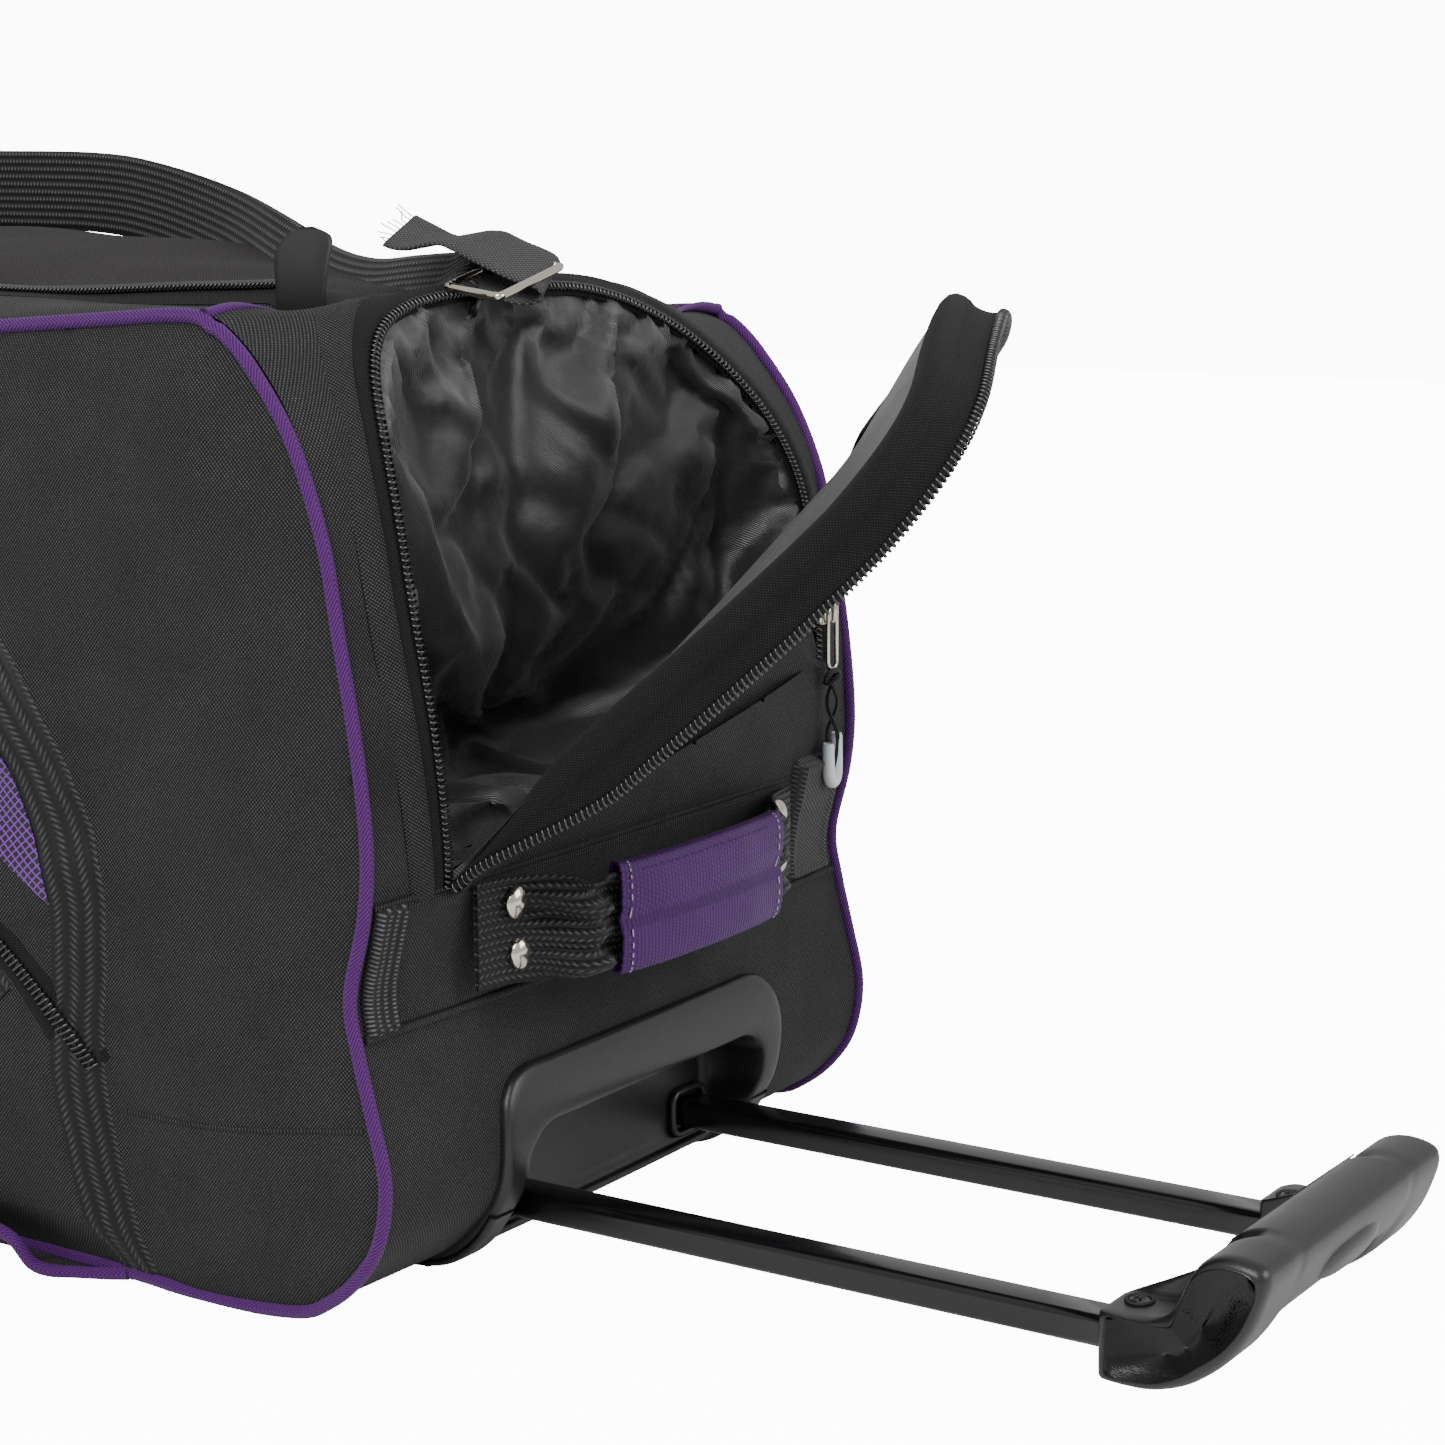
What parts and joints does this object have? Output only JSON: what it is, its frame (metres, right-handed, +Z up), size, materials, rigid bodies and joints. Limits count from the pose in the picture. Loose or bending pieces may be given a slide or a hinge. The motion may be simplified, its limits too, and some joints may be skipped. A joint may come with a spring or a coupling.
{
  "type": "rolling duffel bag",
  "caption": "Long wheeled duffel bag with a telescoping pull handle, a zipped end pocket shown open, side pockets, carry straps and contrast piping.",
  "frame": {"origin": "on the floor under the centre of the bag's outer box, with the pull handle part way out", "axes": "+X out of the handle end, +Z up, -Y towards the front side with the main zip"},
  "size_m": [1.1104, 0.3808, 0.391],
  "materials": {
    "bag_fabric": "coarse woven nylon, matte",
    "lining_fabric": "smooth crumpled satin",
    "piping_purple": "braided cord",
    "webbing_black": "ribbed webbing",
    "webbing_grey": "ribbed webbing",
    "plastic_dark": "satin, fine grain",
    "tube_black": "gloss",
    "steel": "polished",
    "plastic_white": "satin",
    "rubber_black": "matte",
    "board_black": "plain"
  },
  "bodies": {
    "root": {"front_panel": "bag_fabric", "front_piping": "piping_purple", "back_panel": "bag_fabric", "back_piping": "piping_purple", "end_panel": "bag_fabric", "end_pocket_lining": "lining_fabric", "wheel_end_panel": "bag_fabric", "bottom_panel": "bag_fabric", "base_board": "board_black", "top_panel": "bag_fabric", "front_pocket": "bag_fabric", "back_pocket": "bag_fabric", "handle_bezel": "plastic_dark", "outer_tube_near": "tube_black", "outer_tube_far": "tube_black", "tube_foot": "plastic_dark", "wheel_tray": "plastic_dark", "axle_near": "steel", "axle_far": "steel", "end_band": "webbing_black", "haul_strap": "webbing_black", "haul_wrap": "piping_purple", "haul_anchor_near": "webbing_black", "haul_anchor_far": "webbing_black", "rivet_near_upper": "steel", "rivet_near_lower": "steel", "rivet_far_upper": "steel", "rivet_far_lower": "steel", "zip_end_tab": "webbing_black", "shoulder_strap": "webbing_black"},
    "handle": {"inner_tube_near": "tube_black", "inner_tube_far": "tube_black", "grip_upper": "plastic_dark", "grip_lower": "plastic_dark", "grip_screw_near": "steel", "grip_screw_far": "steel"},
    "grip_button": {"grip_button": "plastic_dark", "button_yoke": "plastic_white"},
    "lock_pin_near": {"lock_pin_near": "steel"},
    "lock_pin_far": {"lock_pin_far": "steel"},
    "end_flap": {"end_flap": "bag_fabric"},
    "end_flap_tip": {"end_flap_tip": "bag_fabric"},
    "end_zip_slider": {"end_zip_slider": "steel"},
    "end_zip_pull": {"end_zip_pull": "steel", "pull_cord": "webbing_black", "pull_cap": "plastic_white"},
    "main_lid": {"main_lid": "bag_fabric"},
    "main_zip_slider": {"main_zip_slider": "steel"},
    "main_zip_pull": {"main_zip_pull": "steel"},
    "front_pocket_slider": {"front_pocket_slider": "steel"},
    "wheel_near": {"wheel_hub_near": "plastic_dark", "wheel_tyre_near": "rubber_black"},
    "wheel_far": {"wheel_hub_far": "plastic_dark", "wheel_tyre_far": "rubber_black"},
    "carry_handle_front": {"carry_handle_front": "webbing_black"},
    "carry_handle_back": {"carry_handle_back": "webbing_black"},
    "ring_handle_end": {"ring_handle_end": "steel", "ring_tab_handle_end": "webbing_grey"},
    "ring_wheel_end": {"ring_wheel_end": "steel", "ring_tab_wheel_end": "webbing_grey"}
  },
  "joints": [
    {"name": "handle_slide", "type": "slide", "parent": "root", "child": "handle", "axis": [1, 0, 0], "range_m": [-0.246, 0.15]},
    {"name": "button_press", "type": "slide", "parent": "handle", "child": "grip_button", "axis": [-1, 0, 0], "range_m": [0, 0.004], "stiffness_N_per_m": 800, "springref_m": -0.002},
    {"name": "pin_near_retract", "type": "slide", "parent": "handle", "child": "lock_pin_near", "axis": [0, 1, 0], "range_m": [0, 0.002]},
    {"name": "pin_far_retract", "type": "slide", "parent": "handle", "child": "lock_pin_far", "axis": [0, -1, 0], "range_m": [0, 0.002]},
    {"name": "end_flap_fold", "type": "hinge", "parent": "root", "child": "end_flap", "pos_m": [0.26625, -0.122, 0.154], "axis": [0, 0.9144, 0.4047], "range_deg": [-44.5, 30]},
    {"name": "end_flap_tip_bend", "type": "hinge", "parent": "end_flap", "child": "end_flap_tip", "pos_m": [0.29444, 0.00221, 0.263], "axis": [-0.2862, 0.952, 0.1084], "range_deg": [-36, 24.5]},
    {"name": "end_zip_run", "type": "slide", "parent": "root", "child": "end_zip_slider", "axis": [-0.13, 0, 0.9915], "range_m": [0, 0.04]},
    {"name": "end_zip_pull_swing", "type": "hinge", "parent": "end_zip_slider", "child": "end_zip_pull", "pos_m": [0.27355, 0.1285, 0.2155], "axis": [0, -1, 0], "range_deg": [0, 40]},
    {"name": "main_lid_fold", "type": "hinge", "parent": "root", "child": "main_lid", "pos_m": [-0.13675, 0.05675, 0.3487], "axis": [-1, 0, 0], "range_deg": [0, 85]},
    {"name": "main_zip_run", "type": "slide", "parent": "root", "child": "main_zip_slider", "axis": [1, 0, 0], "range_m": [0, 0.55]},
    {"name": "main_zip_pull_swing", "type": "hinge", "parent": "main_zip_slider", "child": "main_zip_pull", "pos_m": [-0.40655, -0.088, 0.3528], "axis": [0, 1, 0], "range_deg": [0, 90]},
    {"name": "front_pocket_zip_run", "type": "slide", "parent": "root", "child": "front_pocket_slider", "axis": [1, 0, 0], "range_m": [-0.12, 0.12]},
    {"name": "wheel_near_spin", "type": "hinge", "parent": "root", "child": "wheel_near", "pos_m": [-0.51725, -0.129, 0.038], "axis": [0, 1, 0], "continuous": true},
    {"name": "wheel_far_spin", "type": "hinge", "parent": "root", "child": "wheel_far", "pos_m": [-0.51725, 0.129, 0.038], "axis": [0, 1, 0], "continuous": true},
    {"name": "carry_front_swing", "type": "hinge", "parent": "root", "child": "carry_handle_front", "pos_m": [-0.13675, -0.159, 0.34], "axis": [-1, 0, 0], "range_deg": [0, 120]},
    {"name": "carry_back_swing", "type": "hinge", "parent": "root", "child": "carry_handle_back", "pos_m": [-0.13675, 0.159, 0.34], "axis": [1, 0, 0], "range_deg": [0, 120]},
    {"name": "ring_handle_end_swing", "type": "hinge", "parent": "root", "child": "ring_handle_end", "pos_m": [0.21225, -0.03, 0.3535], "axis": [0, 1, 0], "range_deg": [0, 50]},
    {"name": "ring_wheel_end_swing", "type": "hinge", "parent": "root", "child": "ring_wheel_end", "pos_m": [-0.48575, -0.03, 0.3535], "axis": [0, -1, 0], "range_deg": [0, 50]}
  ],
  "couplings": [
    {"joint": "pin_near_retract", "follows": "button_press", "ratio": 0.5},
    {"joint": "pin_far_retract", "follows": "button_press", "ratio": 0.5},
    {"joint": "end_flap_tip_bend", "follows": "end_flap_fold", "ratio": 0.8}
  ]
}
